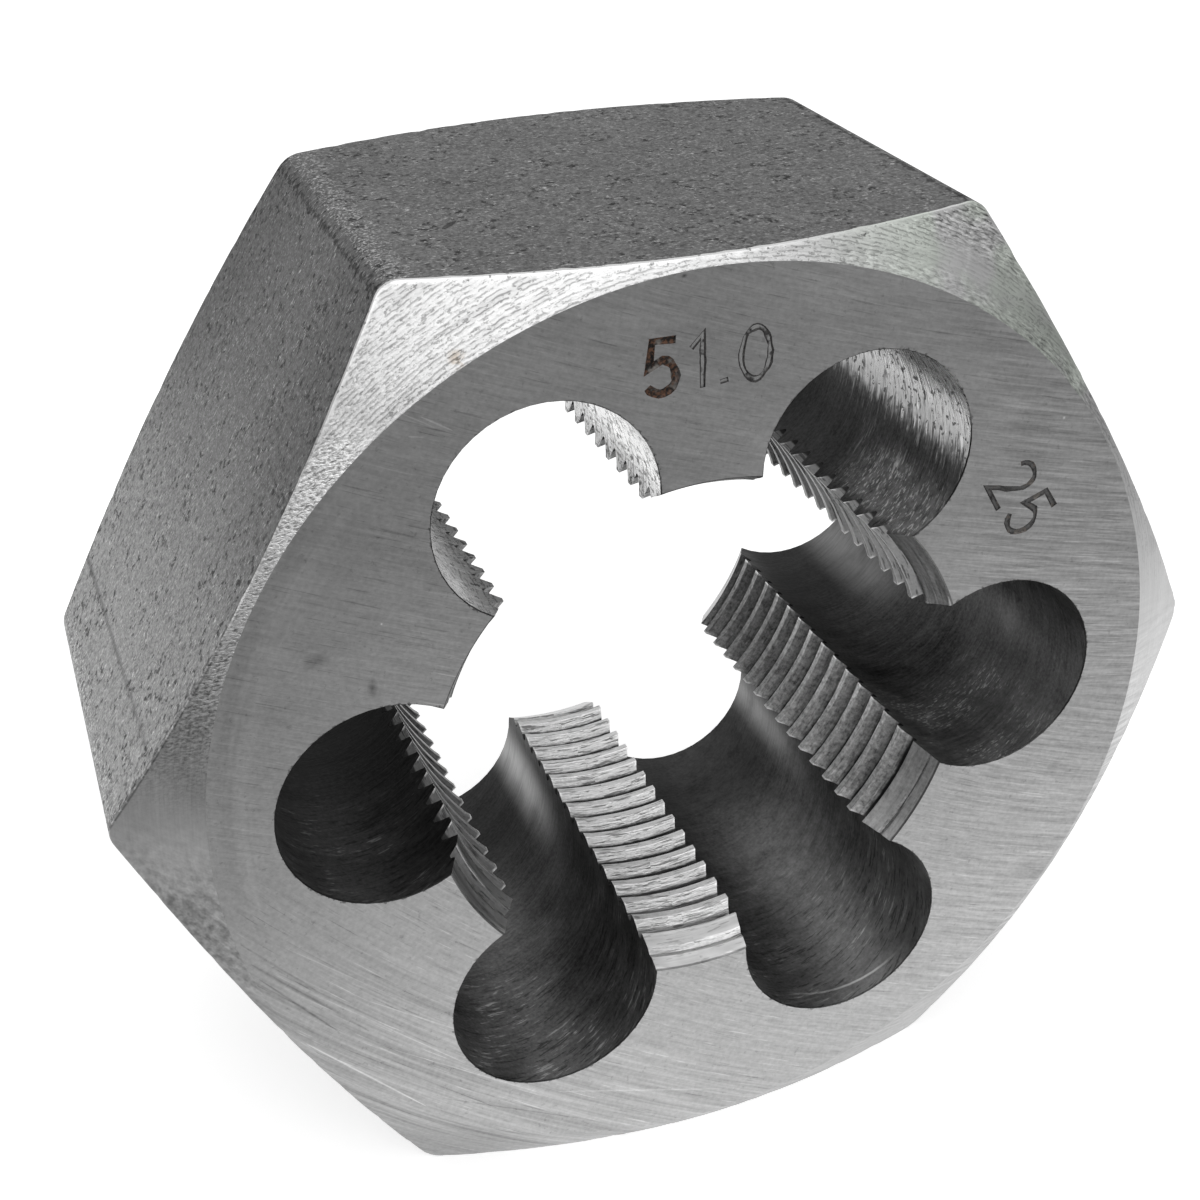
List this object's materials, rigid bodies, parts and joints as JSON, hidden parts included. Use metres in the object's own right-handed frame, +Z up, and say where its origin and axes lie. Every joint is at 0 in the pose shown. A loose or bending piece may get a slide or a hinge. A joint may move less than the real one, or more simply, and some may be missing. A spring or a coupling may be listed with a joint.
{
  "type": "hex rethreading die",
  "caption": "Hexagonal rethreading die standing on one flat, with a fine internal thread on lands between round chip holes, lead-in cones at both ends and chamfered faces.",
  "frame": {"origin": "on the thread's axis, half way through the die's thickness, which is the centre of its box", "axes": "+Z up, square to the flat that the die stands on; +Y from the front face to the back face along the thread's axis; +X to the right, across two corners of the hexagon"},
  "size_m": [0.0584, 0.025, 0.051],
  "materials": {
    "tool_steel": "ground end faces, turned chamfers, dark dull flats and drilled chip holes"
  },
  "bodies": {
    "root": {"hex_die": "tool_steel"}
  },
  "joints": []
}
